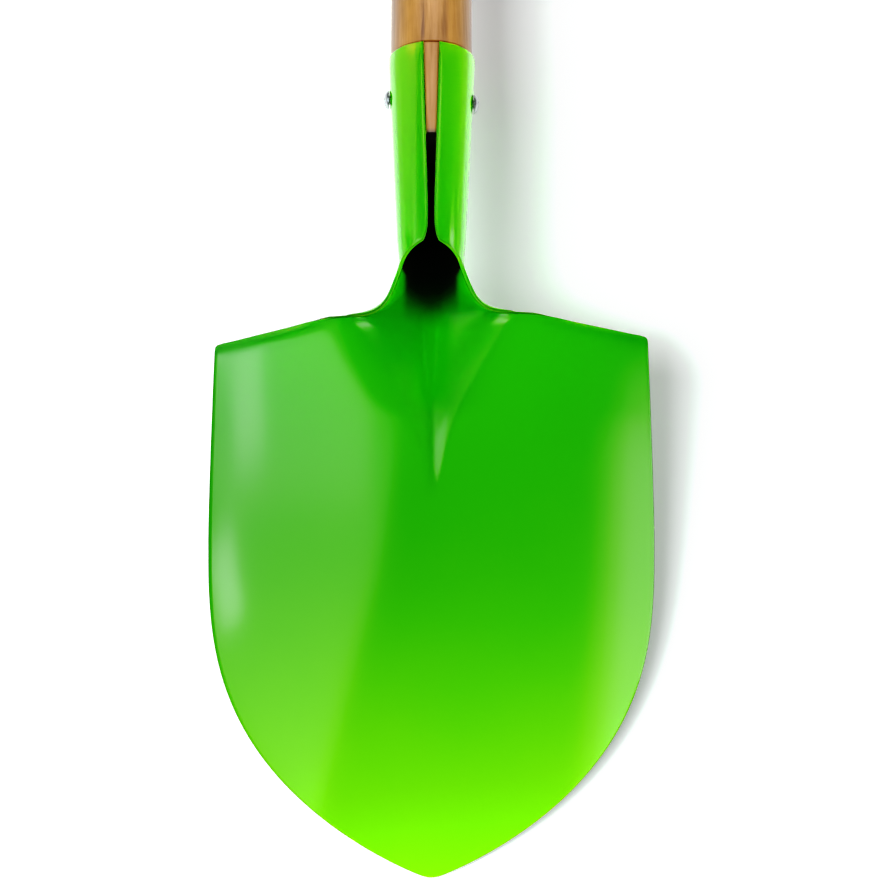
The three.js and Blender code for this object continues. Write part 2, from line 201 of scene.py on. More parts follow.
# Wood: noise, stretched along the grain, colours along the noise, how strongly they mix, and finish
GRAIN_STRETCH = 0.045
WOOD_RINGS = {"Scale": 95, "Detail": 3, "Distortion": 0.8}
WOOD_FIBRES = {"Scale": 700, "Detail": 5, "Roughness": 0.7}
WOOD_PORES = {"Scale": 2400, "Detail": 2, "Roughness": 0.5}
WOOD_CRACKS = {"Scale": 330, "Detail": 2, "Roughness": 0.6}
WOOD_CLOUD = {"Scale": 60, "Detail": 4, "Roughness": 0.6}
RING_COLOURS = [
    (0.32, (0.085, 0.034, 0.007)),
    (0.42, (0.15, 0.066, 0.013)),
    (0.52, (0.18, 0.084, 0.018)),
    (0.66, (0.24, 0.124, 0.032)),
]
FIBRE_COLOURS = [(0.3, (0.62, 0.55, 0.47)), (0.55, (1, 1, 1))]
CRACK_COLOURS = [(0.31, (0.45, 0.34, 0.25)), (0.37, (1, 1, 1))]
CLOUD_COLOURS = [(0.35, (0.82, 0.76, 0.70)), (0.6, (1, 1, 1))]
# End grain darkened to near black as painted shade inside the socket
END_GRAIN_AND_SHADE_COLOURS = [(0, (0.008, 0.004, 0.002)), (1, (0.016, 0.009, 0.004))]
FIBRE_SHARE = 0.8
CRACK_SHARE = 0.9
CLOUD_SHARE = 0.8
WOOD_ROUGHNESS = (0.7, 0.5)
WOOD_SHEEN = 0.4
FIBRE_STRENGTH = 0.35
FIBRE_DEPTH = 0.2 * MM
PORE_STRENGTH = 0.2
PORE_DEPTH = 0.1 * MM

# Zinc plate: noise, colours along the noise and finish
ZINC_CLOUD = {"Scale": 700, "Detail": 4, "Roughness": 0.6}
ZINC_COLOURS = [(0.35, (0.55, 0.57, 0.59)), (0.65, (0.68, 0.69, 0.69))]
ZINC_ROUGHNESS = (0.2, 0.36)
ZINC_STRENGTH = 0.1
ZINC_DEPTH = 0.1 * MM

# Camera and floor in metres, with the sensor in millimetres
CAMERA_TILT = math.radians(11.09)
CAMERA_DISTANCE = 0.469
CAMERA_TARGET_FROM_TIP = 0.1337
CAMERA_TARGET_SIDE = 0.0027
CAMERA_TARGET_HEIGHT = 0.0192
FOCAL_PIXELS = 1500
PICTURE_PIXELS = 880
SENSOR_WIDTH = 36
NEAREST_SEEN = 0.01
FLOOR_HALF = 30
FLOOR_COLOUR = (0.9, 0.9, 0.9)
FLOOR_ROUGHNESS = 0.9
# The floor's own glow, near and far, and the distances between which it rises
FLOOR_GLOW = (0.28, 0.6)
FLOOR_GLOW_REACH = (0.35, 0.9)

# Lights: place and aim from the camera's target in metres, width and height, watts, colour, turn
COOL = (0.78, 1, 1)
WHITE = (1, 1, 1)
RED = (1, 0.19, 0.09)
PANEL_TURN = math.radians(62)
STRIP_TURN = math.radians(12)
# Panel that lights everything
SOFTBOXES = {
    "left_panel": ((-0.745, -0.337, 0.90), (-0.745, -0.337, 0), (0.95, 0.9), 5.2, COOL, PANEL_TURN),
}
# Lights that the paint's gloss doesn't show
SOFT_LIGHTS = {
    "left_window": ((-0.90, -0.25, 0.50), (0, 0, 0), (0.6, 0.9), 1.0, COOL),
}
# Fill lights, which light the blade alone
FILLS = {
    "right_low": ((0.90, -0.05, 0.30), (0, 0, 0), (0.8, 0.3), 2.8, WHITE),
}
SOFT_FILLS = {
    "right_panel": ((0.76, -0.40, 0.60), (0.76, -0.40, 0), (0.6, 0.8), 3.6, WHITE),
    "tip_accent": ((0.01, -0.30, 0.035), (0, -0.08, 0), (0.40, 0.06), 12.6, RED),
}
# Narrow lights on the socket's front and the neck
SOCKET_SPREAD = math.radians(40)
SOCKET_LIGHTS = {
    "left_accent": ((-0.165, 0.265, 0.12), (0, 0.11, 0.02), (0.06, 0.06), 0.25, RED),
    "right_accent": ((0.13, 0.31, 0.06), (0, 0.11, 0.02), (0.06, 0.06), 0.38, RED),
    "left_neck": ((-0.19, 0.05, 0.11), (0.008, 0.045, 0.012), (0.05, 0.05), 0.016, WHITE),
    "right_neck": ((0.19, 0.05, 0.11), (-0.008, 0.045, 0.012), (0.05, 0.05), 0.01, WHITE),
}
# Lights that only the paint's gloss shows
GLINTS = {
    "upper_panel_glint": ((-0.66, 0.10, 0.90), (0, 0, 0), (0.6, 1.0), 1.5, WHITE),
    "right_near_glint": ((0.75, -0.455, 0.59), (0.75, -0.455, 0), (0.6, 0.75), 1.3, WHITE),
    "right_middle_glint": ((0.82, -0.425, 0.61), (0.82, -0.425, 0), (0.6, 0.75), 1.5, WHITE),
    "right_far_glint": ((0.89, -0.395, 0.62), (0.89, -0.395, 0), (0.6, 0.75), 1.5, WHITE),
    "upper_blob_glint": ((-0.69, -0.04, 0.78), (-0.06, 0.02, 0), (0.20, 0.12), 0.16, WHITE),
    "lower_blob_glint": ((-0.755, -0.27, 0.69), (-0.065, -0.047, 0), (0.15, 0.10), 0.17, WHITE),
    "left_wing_glint": (
        (0.185, 0.307, 0.585), (-0.02, 0.035, 0.015), (0.05, 0.2), 0.16, WHITE, -STRIP_TURN,
    ),
    "right_wing_glint": (
        (-0.185, 0.307, 0.585), (0.02, 0.035, 0.015), (0.05, 0.2), 0.16, WHITE, STRIP_TURN,
    ),
    "left_floor_card": ((-0.055, 0.145, -0.018), (-0.055, 0.145, 1), (0.07, 0.21), 0.045, WHITE),
    "right_floor_card": ((0.055, 0.145, -0.018), (0.055, 0.145, 1), (0.07, 0.21), 0.045, WHITE),
    "tube_glint": ((-0.15, 0.25, 0.11), (0, 0.11, 0.02), (0.36, 0.18), 0.22, WHITE),
}
# Light for the wood alone, which reaches down into the open seam
WOOD_LIGHTS = {
    "wood_panel": ((0, 0.38, 0.45), (0, 0.38, 0), (0.7, 0.9), 12, WHITE),
}
# Floor light, which takes the floor to white beside the shadows
FLOOR_LIGHTS = {
    "floor_panel": ((-0.66, -0.10, 0.90), (0, 0, 0), (0.8, 0.8), 11.0, WHITE),
}
SKY_STRENGTH = 0.28

# Which of the view's curves acts on all colours together
COMBINED_CURVE = 3
# Tone curve on linear colour: a deep toe, and a steep end that takes the floor to white
TONE_CURVE = [
    (0, 0),
    (0.06, 0.003),
    (0.1, 0.012),
    (0.13, 0.03),
    (0.16, 0.06),
    (0.2, 0.115),
    (0.3, 0.25),
    (0.5, 0.48),
    (0.8, 0.8),
    (0.9, 0.98),
    (1, 1),
]

neck_radius = (SOCKET_NECK_DIAMETER - SHEET) / 2
rim_radius = (SOCKET_RIM_DIAMETER - SHEET) / 2
socket_taper = (rim_radius - neck_radius) / SOCKET_LENGTH
flare_half = NECK_FLARE_WIDTH / 2
shoulder_half = SHOULDER_WIDTH / 2
blade_half = BLADE_WIDTH / 2
dish_radius = (blade_half ** 2 + DISH_DEPTH ** 2) / (2 * DISH_DEPTH)
grip_radius = GRIP_DIAMETER / 2
grip_from_neck = SOCKET_LENGTH + SHAFT_SHOWING + grip_radius


def middle(node):
    low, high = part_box(node)
    return (Vector(low) + Vector(high)) / 2


def shaft_frame():
    """The matrix from millimetres in the shaft's frame to the model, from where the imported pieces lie."""
    grip = middle("grip_crossbar")
    screw = middle("socket_screw_left")
    along = Vector((0, grip.y - screw.y, grip.z - screw.z)).normalized()
    across = Vector((1, 0, 0))
    axes = Matrix((across, along, across.cross(along))).transposed()
    origin = Vector((0, grip.y, grip.z)) - along * grip_from_neck * MM
    return Matrix.Translation(origin) @ axes.to_4x4() @ Matrix.Scale(MM, 4)


to_model = shaft_frame()


def mix(low, high, share):
    return low + (high - low) * share


def smooth_step(value, low, high):
    share = np.clip((value - low) / (high - low), 0, 1)
    return share ** 2 * (3 - 2 * share)


# Pressed sheet: its middle surface, as rows of points

def socket_radius(height):
    return neck_radius + socket_taper * height


def seam_half_gap(height):
    seam = mix(SEAM_GAP_AT_FOOT, SEAM_GAP_AT_RIM, height / SOCKET_LENGTH) / 2
    flare = SEAM_FLARE * math.exp(-max(0, height - NOTCH_HEIGHT) / SEAM_FLARE_FADE)
    climb = max(0, 1 - height / NOTCH_HEIGHT)
    return seam + flare + NOTCH_REACH * climb ** (1 / NOTCH_POWER)


def socket_row(height):
    """From one side of the seam round the floor to the other."""
    radius = socket_radius(height)
    reach = math.pi - seam_half_gap(height) / radius
    turn = np.linspace(-reach, reach, 2 * AROUND_HALF + 1)
    return np.stack([radius * np.sin(turn), np.full_like(turn, height), -radius * np.cos(turn)], axis=1)


def frog_depth(v):
    """Depth of the frog below the blade's plane: the socket's floor runs out in a long tail."""
    deepest = (BLADE_RISE + neck_radius) / math.cos(LIFT)
    return deepest * np.maximum(0, 1 - v / FROG_LENGTH) ** FROG_FLOOR_POWER


def frog_half_width(v):
    share = frog_depth(v) / frog_depth(SHOULDER_FROM_NECK)
    return mix(FROG_TAIL_WIDTH, FROG_WIDTH, share ** FROG_SIDE_POWER) / 2


def shoulder_drop_share(x):
    """Share of the shoulder's drop at x: none beside the neck, then a soft bend into a straight slope."""
    beyond = np.abs(x) - flare_half
    return (beyond + np.hypot(beyond, SHOULDER_BEND_ROUND)) / 2 / (shoulder_half - flare_half)


def shoulder_edge(x):
    return SHOULDER_FROM_NECK + SHOULDER_DROP * shoulder_drop_share(x)


def blade_points(x, v):
    """Points of the blade, x across and v from the neck, in the shaft's frame."""
    dish = dish_radius - np.sqrt(dish_radius ** 2 - x ** 2)
    tip_bend = np.maximum(0, v - TIP_BEND_FROM_NECK) ** 2 / (2 * TIP_BEND_RADIUS)
    from_crease = np.hypot(x, FROG_CREASE_ROUND) - FROG_CREASE_ROUND
    across = np.minimum(1, from_crease / frog_half_width(v))
    frog = frog_depth(v) * (1 - across) ** 2 * (1 + across)

    bend_radius = TREAD_WIDTH / TREAD_TURN
    bent = np.maximum(0, TREAD_WIDTH - (v - shoulder_edge(x)))
    angle = bent / bend_radius
    tread = smooth_step(np.abs(x), flare_half, flare_half + TREAD_RUN_IN)
    along = v + tread * (bent - bend_radius * np.sin(angle))
    out = -dish - tip_bend - frog - tread * bend_radius * (1 - np.cos(angle))

    along = along - SHOULDER_SKEW * x * (1 - smooth_step(v, SHOULDER_FROM_NECK, WIDEST_FROM_NECK))
    y = -along * math.cos(LIFT) - out * math.sin(LIFT)
    z = BLADE_RISE - along * math.sin(LIFT) + out * math.cos(LIFT)
    return np.stack([x, y, z], axis=1)


def blade_shares():
    """Places of the columns across the blade, as shares of its half width."""
    inner = flare_half / shoulder_half
    half = np.concatenate([
        np.linspace(0, inner, AROUND_HALF + 1),
        np.linspace(inner, 1, SHOULDER_COLUMNS + 1)[1:],
    ])
    return np.concatenate([-half[:0:-1], half])


def upper_row(below_shoulder):
    """A row above the widest place. It starts as the shoulder's edge and straightens on the way down."""
    edge = SHOULDER_FROM_NECK + SHOULDER_DROP + below_shoulder
    down = below_shoulder / (WIDEST_FROM_NECK - SHOULDER_FROM_NECK - SHOULDER_DROP)
    slack = max(0, CORNER_RADIUS - below_shoulder)
    corner = CORNER_RADIUS - math.sqrt(CORNER_RADIUS ** 2 - slack ** 2)
    half = blade_half - (blade_half - shoulder_half) * (1 - down) ** SIDE_BOW_POWER - corner
    shares = blade_shares()
    rise = 1 - shoulder_drop_share(shoulder_half * shares)
    return blade_points(half * shares, edge - SHOULDER_DROP * rise * (1 - down))


def lower_row(down):
    """A row below the widest place, bowed more and more towards the tip."""
    angle = LAST_ROW_ANGLE * down
    half = blade_half * math.cos(angle) ** (2 / OUTLINE_SIDE_POWER)
    reached = (math.sin(angle) / math.sin(LAST_ROW_ANGLE)) ** (2 / OUTLINE_TIP_POWER)
    edge = mix(WIDEST_FROM_NECK, BLADE_LENGTH - TIP_BOW, reached)
    shares = blade_shares()
    return blade_points(half * shares, edge + TIP_BOW * down ** 2 * (1 - shares ** 2))


def neck_row(share, socket_end, blade_start):
    """Between socket and shoulders the floor runs on, and the sides open slowly, then flare on a round."""
    angle = math.pi / 2 * share
    moved = math.sin(angle) ** (2 / NECK_FLARE_POWER)
    flared = 1 - math.cos(angle) ** (2 / NECK_FLARE_POWER)
    towards_edge = (blade_start[:, 0] / blade_start[-1, 0]) ** 2
    opened = mix(share, mix(flared, moved, NECK_FLARE_START), towards_edge)
    row = mix(socket_end, blade_start, opened[:, None])
    row[:, 1] = mix(socket_end[:, 1], blade_start[:, 1], mix(share, moved, towards_edge))
    return row


def sheet_surface():
    """Middle surface of the whole sheet, as points and four-sided faces that look to the back."""
    slit = np.linspace(1, 0, SLIT_ROWS, endpoint=False) ** 2
    narrow = [socket_row(mix(NOTCH_HEIGHT, SOCKET_LENGTH, left)) for left in slit]
    for share in np.linspace(0, 1, NOTCH_ROWS + 1):
        narrow.append(socket_row(NOTCH_HEIGHT * (1 - share ** NOTCH_POWER)))
    shoulder_row = upper_row(0)
    blade_start = shoulder_row[SHOULDER_COLUMNS:-SHOULDER_COLUMNS]
    socket_end = narrow[-1]
    for share in np.linspace(0, 1, NECK_ROWS, endpoint=False)[1:]:
        narrow.append(neck_row(share, socket_end, blade_start))

    wide = [shoulder_row]
    wide += [upper_row(d) for d in np.linspace(0, TREAD_WIDTH, TREAD_ROWS + 1)[1:]]
    straight_part = WIDEST_FROM_NECK - SHOULDER_FROM_NECK - SHOULDER_DROP
    wide += [upper_row(d) for d in np.linspace(TREAD_WIDTH, straight_part, UPPER_ROWS + 1)[1:]]
    wide += [lower_row(d) for d in np.linspace(0, 1, LOWER_ROWS + 1)[1:]]

    points = np.concatenate(narrow + wide)
    narrow_ids = np.arange(sum(map(len, narrow))).reshape(len(narrow), -1)
    wide_ids = np.arange(narrow_ids.size, len(points)).reshape(len(wide), -1)
    upper_ids = np.vstack([narrow_ids, wide_ids[:1, SHOULDER_COLUMNS:-SHOULDER_COLUMNS]])
    faces = np.concatenate([grid_faces(upper_ids), grid_faces(wide_ids)])
    return relax(points, faces), faces


def border_edges(faces):
    """Edges of one face only, in that face's direction."""
    starts = faces.ravel()
    ends = np.roll(faces, -1, axis=1).ravel()
    pairs = set(zip(starts, ends))
    return np.array([pair for pair in zip(starts, ends) if pair[::-1] not in pairs])


def relax(points, faces):
    """Presses the neck smooth: points move to the middle of their neighbours, edges along edges."""
    height = points[:, 1]
    above = smooth_step(height, RELAX_TOP, RELAX_TOP - RELAX_FADE)
    below = smooth_step(height, RELAX_BOTTOM, RELAX_BOTTOM + RELAX_FADE)
    border = border_edges(faces)
    inner_edges = np.concatenate([faces[:, [0, 1]], faces[:, [1, 2]], faces[:, [2, 3]], faces[:, [3, 0]]])
    on_border = np.zeros(len(points), bool)
    on_border[border] = True
    edges = np.concatenate([inner_edges[~on_border[inner_edges[:, 0]]], border, border[:, ::-1]])
    edge_share = RELAX_EDGE_SHARE * smooth_step(height, RELAX_EDGE_BOTTOM, 0)
    share = np.where(on_border, edge_share, RELAX_SHARE) * np.minimum(above, below)
    number = np.bincount(edges[:, 0], minlength=len(points))
    for _ in range(RELAX_PASSES):
        total = np.zeros_like(points)
        np.add.at(total, edges[:, 0], points[edges[:, 1]])
        points = mix(points, total / number[:, None], share[:, None])
    return points


def grid_faces(ids):
    corners = [ids[:-1, :-1], ids[1:, :-1], ids[1:, 1:], ids[:-1, 1:]]
    return np.stack(corners, axis=-1).reshape(-1, 4)


def unit(vectors):
    return vectors / np.linalg.norm(vectors, axis=1, keepdims=True)


def nearest_of(points, chosen):
    """For each point, which of the chosen points is nearest and how far away it is."""
    tree = KDTree(len(chosen))
    for k in chosen:
        tree.insert(points[k], int(k))
    tree.balance()
    found = [tree.find(point) for point in points]
    return np.array([k for _, k, _ in found]), np.array([distance for _, _, distance in found])


def thicken(points, faces):
    """A closed plate with rounded edges on both sides of a surface of four-sided faces."""
    a, b, c, d = (points[faces[:, k]] for k in range(4))
    face_normals = np.cross(c - a, d - b)
    normals = np.zeros_like(points)
    for k in range(4):
        np.add.at(normals, faces[:, k], face_normals)
    normals = unit(normals)

    border = border_edges(faces)
    outward = np.zeros_like(points)
    for k in range(2):
        along = unit(points[border[:, 1]] - points[border[:, 0]])
        np.add.at(outward, border[:, k], np.cross(along, normals[border[:, k]]))
    rim = np.unique(border)
    outward[rim] = unit(outward[rim])
    nearest, distance = nearest_of(points, rim)
    near_edge = np.maximum(0, 1 - distance / EDGE_DRAW_IN)

    inset = points - outward[nearest] * EDGE_ROUND * near_edge[:, None]
    top = inset + normals * SHEET / 2
    under = inset - normals * SHEET / 2
    count = len(points)
    rings = [np.arange(count)]
    layers = [top, under]
    for angle in np.linspace(math.pi / 2, -math.pi / 2, EDGE_STEPS + 1)[1:-1]:
        ids = np.full(count, -1)
        ids[rim] = sum(map(len, layers)) + np.arange(len(rim))
        bulge = outward * EDGE_ROUND * math.cos(angle) + normals * SHEET / 2 * math.sin(angle)
        layers.append((inset + bulge)[rim])
        rings.append(ids)
    rings.append(np.arange(count) + count)

    walls = []
    for near, far in zip(rings, rings[1:]):
        start, end = border.T
        walls.append(np.stack([near[start], far[start], far[end], near[end]], axis=1))
    return np.concatenate(layers), np.concatenate([faces, faces[:, ::-1] + count, *walls])


# Meshes and pieces

def mesh_object(name, points, faces, place=to_model):
    mesh = bpy.data.meshes.new(name)
    mesh.from_pydata([place @ Vector(p) for p in points], [], [tuple(map(int, f)) for f in faces])
    mesh.validate()
    piece = bpy.data.objects.new(name, mesh)
    bpy.context.scene.collection.objects.link(piece)
    return piece


def finish_piece(piece, node, material):
    piece.data.shade_smooth()
    piece.data.set_sharp_from_angle(angle=SHARP_ANGLE)
    piece.data.materials.append(material)
    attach(piece, "root")
    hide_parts(node)


def turned(profile):
    """A body turned about Y from pairs of radius and height that start and end on the axis."""
    ring = np.linspace(0, 2 * math.pi, ROUND_SEGMENTS, endpoint=False)
    points = [(0, profile[0][1], 0)]
    for radius, height in profile[1:-1]:
        points += [(radius * math.sin(t), height, radius * math.cos(t)) for t in ring]
    last = len(points) - ROUND_SEGMENTS
    points.append((0, profile[-1][1], 0))

    first = np.arange(ROUND_SEGMENTS)
    sides = list(zip(first, np.roll(first, -1)))
    faces = [(0, 1 + end, 1 + start) for start, end in sides]
    for near in range(1, last, ROUND_SEGMENTS):
        far = near + ROUND_SEGMENTS
        faces += [(near + start, near + end, far + end, far + start) for start, end in sides]
    faces += [(last + start, last + end, len(points) - 1) for start, end in sides]
    return points, faces


def round_corner(radius, height, size, up):
    """Profile points of a quarter round on an outer corner, from the side to the end face if up is 1."""
    angles = np.linspace(0, math.pi / 2, ARC_STEPS + 1)
    points = [
        (radius - size * (1 - math.cos(t)), height - up * size * (1 - math.sin(t)))
        for t in angles
    ]
    return points if up > 0 else points[::-1]


def cut(piece, tools):
    """Cuts closed tool objects out of a piece and removes the tools."""
    for tool in tools:
        step = piece.modifiers.new("cut", "BOOLEAN")
        step.object = tool
        step.solver = "EXACT"
        shaped = piece.evaluated_get(bpy.context.evaluated_depsgraph_get())
        mesh = bpy.data.meshes.new_from_object(shaped)
        piece.modifiers.clear()
        piece.data = mesh
        bpy.data.objects.remove(tool)


# Materials

def new_material(name):
    material = bpy.data.materials.new(name)
    material.use_nodes = True
    return material, material.node_tree, material.node_tree.nodes["Principled BSDF"]


def add_node(tree, kind, links, **values):
    """A node with its inputs set from values, or linked from other nodes' outputs."""
    made = tree.nodes.new(kind)
    for name, value in values.items():
        made.inputs[name].default_value = value
    for name, output in links.items():
        tree.links.new(output, made.inputs[name])
    return made


def ramp(tree, source, stops):
    made = tree.nodes.new("ShaderNodeValToRGB")
    tree.links.new(source, made.inputs["Fac"])
    elements = made.color_ramp.elements
    for position, _ in stops[1:-1]:
        elements.new(position)
    for element, (position, colour) in zip(elements, stops):
        element.position = position
        element.color = (*colour, 1)
    return made.outputs["Color"]


def to_range(tree, source, source_range, result_range):
    made = tree.nodes.new("ShaderNodeMapRange")
    tree.links.new(source, made.inputs["Value"])
    made.inputs["From Min"].default_value = source_range[0]
    made.inputs["From Max"].default_value = source_range[1]
    made.inputs["To Min"].default_value = result_range[0]
    made.inputs["To Max"].default_value = result_range[1]
    return made.outputs["Result"]


def share_of(tree, name):
    """The share that a piece's points carry under a name."""
    made = tree.nodes.new("ShaderNodeAttribute")
    made.attribute_name = name
    return made.outputs["Fac"]


def noise(tree, place, settings):
    return add_node(tree, "ShaderNodeTexNoise", {"Vector": place}, **settings).outputs["Fac"]


def blend(tree, share, one, other, way="MIX"):
    """Mixes two colours by a share, which is a number or another node's output."""
    made = tree.nodes.new("ShaderNodeMix")
    made.data_type = "RGBA"
    made.blend_type = way
    if isinstance(share, float):
        made.inputs["Factor"].default_value = share
    else:
        tree.links.new(share, made.inputs["Factor"])
    tree.links.new(one, made.inputs["A"])
    tree.links.new(other, made.inputs["B"])
    return made.outputs["Result"]


def bumps(tree, shader, layers):
    """Chains bump nodes, each from a height, a strength and a depth in metres."""
    normal = None
    for height, strength, depth in layers:
        links = {"Height": height}
        if normal:
            links["Normal"] = normal
        made = add_node(tree, "ShaderNodeBump", links, Strength=strength, Distance=depth)
        normal = made.outputs["Normal"]
    tree.links.new(normal, shader.inputs["Normal"])


def green_paint():
    material, tree, shader = new_material("green_paint")
    place = tree.nodes.new("ShaderNodeTexCoord").outputs["Object"]
    cloud = noise(tree, place, PAINT_CLOUD)
    peel = noise(tree, place, PAINT_PEEL)
    paint = ramp(tree, cloud, PAINT_COLOURS)
    # Painted shade on the sheet's edge
    edge_shade_colour = ramp(tree, cloud, EDGE_SHADE_COLOURS)
    # Bare steel with painted shade in the socket's hollow
    steel_and_shade = ramp(tree, peel, STEEL_AND_SHADE_COLOURS)
    painted = blend(tree, share_of(tree, "edge_shade"), paint, edge_shade_colour)
    colour = blend(tree, share_of(tree, "bare_steel_and_shade"), painted, steel_and_shade)
    tree.links.new(colour, shader.inputs["Base Color"])
    roughness = to_range(tree, cloud, FULL_RANGE, PAINT_ROUGHNESS)
    tree.links.new(roughness, shader.inputs["Roughness"])
    shine = to_range(tree, share_of(tree, "dull"), FULL_RANGE, PAINT_SHINE)
    tree.links.new(shine, shader.inputs["Specular IOR Level"])
    shader.inputs["IOR"].default_value = PAINT_IOR
    bumps(tree, shader, [(peel, PEEL_STRENGTH, PEEL_DEPTH)])
    return material


def wood(name, along_grain):
    """Turned wood with its grain along one axis of the model."""
    material, tree, shader = new_material(name)
    place = tree.nodes.new("ShaderNodeTexCoord").outputs["Object"]
    stretch = [1, 1, 1]
    stretch[along_grain] = GRAIN_STRETCH
    stretched = add_node(tree, "ShaderNodeMapping", {"Vector": place}, Scale=stretch)
    grain_place = stretched.outputs["Vector"]
    fibres = noise(tree, grain_place, WOOD_FIBRES)
    pores = noise(tree, grain_place, WOOD_PORES)
    rings = ramp(tree, noise(tree, grain_place, WOOD_RINGS), RING_COLOURS)
    streaks = ramp(tree, fibres, FIBRE_COLOURS)
    cracks = ramp(tree, noise(tree, grain_place, WOOD_CRACKS), CRACK_COLOURS)
    clouds = ramp(tree, noise(tree, place, WOOD_CLOUD), CLOUD_COLOURS)
    colour = blend(tree, FIBRE_SHARE, rings, streaks, "MULTIPLY")
    colour = blend(tree, CRACK_SHARE, colour, cracks, "MULTIPLY")
    colour = blend(tree, CLOUD_SHARE, colour, clouds, "MULTIPLY")
    # Near-black end of the shaft: end grain, and painted shade inside the socket
    end_grain_and_shade = ramp(tree, pores, END_GRAIN_AND_SHADE_COLOURS)
    colour = blend(tree, share_of(tree, "end_grain_and_shade"), colour, end_grain_and_shade)
    tree.links.new(colour, shader.inputs["Base Color"])
    roughness = to_range(tree, fibres, NOISE_RANGE, WOOD_ROUGHNESS)
    tree.links.new(roughness, shader.inputs["Roughness"])
    shader.inputs["Sheen Weight"].default_value = WOOD_SHEEN
    bumps(tree, shader, [(fibres, FIBRE_STRENGTH, FIBRE_DEPTH), (pores, PORE_STRENGTH, PORE_DEPTH)])
    return material


def zinc_plate():
    material, tree, shader = new_material("zinc_plate")
    place = tree.nodes.new("ShaderNodeTexCoord").outputs["Object"]
    cloud = noise(tree, place, ZINC_CLOUD)
    tree.links.new(ramp(tree, cloud, ZINC_COLOURS), shader.inputs["Base Color"])
    roughness = to_range(tree, cloud, NOISE_RANGE, ZINC_ROUGHNESS)
    tree.links.new(roughness, shader.inputs["Roughness"])
    shader.inputs["Metallic"].default_value = 1
    bumps(tree, shader, [(cloud, ZINC_STRENGTH, ZINC_DEPTH)])
    return material


# Pieces of the spade

def make_blade(material):
    points, faces = sheet_surface()
    plate, plate_faces = thicken(points, faces)
    piece = mesh_object("green_blade_and_socket", plate, plate_faces)
    inner = slice(0, len(points))
    edge = slice(2 * len(points), None)
    # Bare steel with painted shade in the socket's hollow
    mark(piece, "bare_steel_and_shade", inner, bare_steel_and_shade(points))
    mark(piece, "dull", inner, dull_paint(points))
    # Painted shade on the sheet's edge
    mark(piece, "edge_shade", edge, edge_shade(plate[edge]))
    finish_piece(piece, "blade_and_socket", material)
    return piece


def mark(piece, name, where, shares):
    """Gives some of a piece's points a share that its material reads by name."""
    values = np.zeros(len(piece.data.vertices))
    values[where] = shares
    attribute = piece.data.attributes.new(name, "FLOAT", "POINT")
    attribute.data.foreach_set("value", values)


def bare_steel_and_shade(points):
    """Share of dark colour on the inner side of each point in the socket's hollow: bare steel with painted
    shade.
    """
    x, y = points.T[:2]
    up_the_socket = smooth_step(y, BARE_STEEL_AND_SHADE_FROM - BARE_STEEL_AND_SHADE_FADE, BARE_STEEL_AND_SHADE_FROM)
    half_width = BARE_STEEL_AND_SHADE_HALF_WIDTH + np.maximum(0, y)
    side = smooth_step(np.abs(x), half_width, half_width + BARE_STEEL_AND_SHADE_SIDE_FADE)
    return up_the_socket * (1 - side)


def dull_paint(points):
    """Share of dull paint on the inner side of each point."""
    x, y = points.T[:2]
    neck = smooth_step(y, DULL_NECK_FROM - DULL_NECK_FADE, DULL_NECK_FROM)
    up_the_trough = smooth_step(y, DULL_TROUGH_FROM - DULL_TROUGH_FADE, DULL_TROUGH_FROM)
    side = smooth_step(np.abs(x), DULL_TROUGH_HALF_WIDTH, DULL_TROUGH_HALF_WIDTH + DULL_TROUGH_SIDE_FADE)
    return np.maximum(neck, up_the_trough * (1 - side))


def edge_shade(points):
    """Share of painted shade on the points of the sheet's edge, away from the notch at the neck."""
    return 1 - smooth_step(np.abs(points[:, 1] - UNSHADED_EDGE_AT), UNSHADED_EDGE_REACH, 0)


def make_shaft(material):
    def inside(height):
        return socket_radius(height) - SHEET / 2 - FIT

    cone_end = SOCKET_LENGTH - CONE_LENGTH
    cone_start = cone_end + END_GRAIN_AND_SHADE_LENGTH
    shoulder = SOCKET_LENGTH + FIT
    taper_end = grip_from_neck - grip_radius
    top = taper_end + GRIP_BORE_DEPTH - FIT
    radius = SHAFT_DIAMETER / 2
    profile = [
        (0, cone_end),
        (inside(cone_end) - CONE_END_CHAMFER, cone_end),
        (inside(cone_end + CONE_END_CHAMFER), cone_end + CONE_END_CHAMFER),
        (inside(cone_start), cone_start),
        (inside(SOCKET_LENGTH), shoulder),
        *round_corner(radius, shoulder, WOOD_EDGE_ROUND, -1),
        (radius, taper_end - SHAFT_TAPER_LENGTH),
        (SHAFT_TOP_DIAMETER / 2, taper_end),
        *round_corner(SHAFT_TOP_DIAMETER / 2, top, WOOD_EDGE_ROUND, 1),
        (0, top),
    ]
    points, faces = turned(profile)
    piece = mesh_object("wooden_shaft", points, faces)
    heights = np.array([point[1] for point in points])
    # Near-black end of the shaft: end grain, and painted shade inside the socket
    mark(piece, "end_grain_and_shade", heights < cone_start, 1)
    finish_piece(piece, "shaft", material)
    return piece


